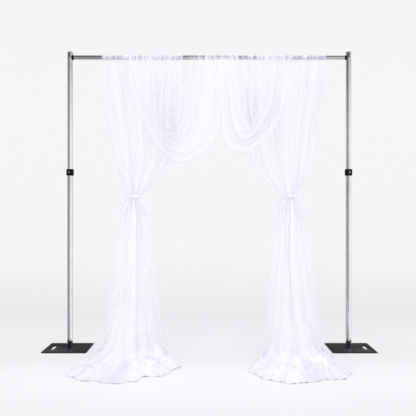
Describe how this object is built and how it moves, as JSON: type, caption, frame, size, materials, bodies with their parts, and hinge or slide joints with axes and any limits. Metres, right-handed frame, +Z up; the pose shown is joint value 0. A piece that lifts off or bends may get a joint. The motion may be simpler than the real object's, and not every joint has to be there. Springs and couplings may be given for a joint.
{
  "type": "pipe and drape backdrop",
  "caption": "Free-standing backdrop frame with telescoping uprights and crossbar on flat base plates, hung with sheer drapes that are tied back, draped in swags and trail on the floor.",
  "frame": {"origin": "middle of the whole part's footprint, on the floor", "axes": "+X along the crossbar towards its thinner tube, -Y the front, where the drapes trail, +Z up"},
  "size_m": [3.016, 1.218, 2.743],
  "materials": {
    "chrome": "polished chrome plate on steel tube",
    "zinc": "bright zinc plate",
    "silver": "satin silver plate",
    "black_powder": "glossy black powder coat on steel",
    "black_plastic": "glossy black",
    "nylon": "natural",
    "spring_steel": "bare spring wire",
    "sheer": "sheer white polyester voile with a faint lavender cast"
  },
  "bodies": {
    "left_stand": {"left_lower_tube": "chrome", "left_collar": "black_plastic", "left_collar_screw": "zinc", "left_lever_pin": "zinc", "left_lever_spring": "spring_steel"},
    "left_base": {"left_base_plate": "black_powder", "left_spigot": "zinc", "left_base_bolt": "zinc", "left_base_nut": "zinc"},
    "left_lever": {"left_release_lever": "silver"},
    "left_mast": {"left_upper_tube": "chrome", "left_tube_plug": "nylon", "left_top_cap": "black_plastic"},
    "left_drapes": {"left_upper_panel": "sheer", "left_skirt": "sheer", "left_swag": "sheer", "left_sash": "sheer"},
    "crossbar": {"crossbar_outer_tube": "chrome", "crossbar_bushing": "black_plastic", "left_end_cap": "black_plastic", "left_hook": "zinc", "left_hook_rivet": "zinc"},
    "crossbar_inner": {"crossbar_inner_tube": "chrome", "crossbar_plug": "nylon", "right_end_cap": "black_plastic", "right_hook": "zinc", "right_hook_rivet": "zinc"},
    "right_stand": {"right_lower_tube": "chrome", "right_collar": "black_plastic", "right_collar_screw": "zinc", "right_lever_pin": "zinc", "right_lever_spring": "spring_steel"},
    "right_base": {"right_base_plate": "black_powder", "right_spigot": "zinc", "right_base_bolt": "zinc", "right_base_nut": "zinc"},
    "right_lever": {"right_release_lever": "silver"},
    "right_mast": {"right_upper_tube": "chrome", "right_tube_plug": "nylon", "right_top_cap": "black_plastic"},
    "right_drapes": {"right_upper_panel": "sheer", "right_skirt": "sheer", "right_swag": "sheer", "right_sash": "sheer"}
  },
  "joints": [
    {"name": "left_base_swivel", "type": "hinge", "parent": "left_stand", "child": "left_base", "pos_m": [-1.288, 0.431, 0.08], "axis": [0, 0, 1], "continuous": true},
    {"name": "left_lever_rock", "type": "hinge", "parent": "left_stand", "child": "left_lever", "pos_m": [-1.288, 0.3977, 1.627], "axis": [1, 0, 0], "range_deg": [0, 8], "stiffness_Nm_per_rad": 0.4, "springref_deg": -5.73, "deforming": ["left_lever_spring"]},
    {"name": "left_height", "type": "slide", "parent": "left_stand", "child": "left_mast", "axis": [0, 0, 1], "range_m": [-0.9144, 0], "deforming": ["left_skirt", "right_skirt"]},
    {"name": "left_hook_lift", "type": "slide", "parent": "left_mast", "child": "crossbar", "axis": [0, 0, 1], "range_m": [0, 0.012]},
    {"name": "crossbar_width", "type": "slide", "parent": "crossbar", "child": "crossbar_inner", "axis": [1, 0, 0], "range_m": [-0.13, 0.47]},
    {"name": "right_hook_lift", "type": "slide", "parent": "crossbar_inner", "child": "right_mast", "axis": [0, 0, 1], "range_m": [-0.012, 0]},
    {"name": "right_height", "type": "slide", "parent": "right_mast", "child": "right_stand", "axis": [0, 0, 1], "range_m": [0, 0.9144]},
    {"name": "right_lever_rock", "type": "hinge", "parent": "right_stand", "child": "right_lever", "pos_m": [1.288, 0.3977, 1.627], "axis": [1, 0, 0], "range_deg": [0, 8], "stiffness_Nm_per_rad": 0.4, "springref_deg": -5.73, "deforming": ["right_lever_spring"]},
    {"name": "right_base_swivel", "type": "hinge", "parent": "right_stand", "child": "right_base", "pos_m": [1.288, 0.431, 0.08], "axis": [0, 0, 1], "continuous": true},
    {"name": "left_drape_slide", "type": "slide", "parent": "crossbar", "child": "left_drapes", "axis": [1, 0, 0], "range_m": [-0.15, 0]},
    {"name": "right_drape_slide", "type": "slide", "parent": "crossbar", "child": "right_drapes", "axis": [1, 0, 0], "range_m": [0, 0.15]}
  ],
  "couplings": [
    {"joint": "right_height", "follows": "left_height", "ratio": -1},
    {"joint": "right_hook_lift", "follows": "left_hook_lift", "ratio": -1}
  ]
}
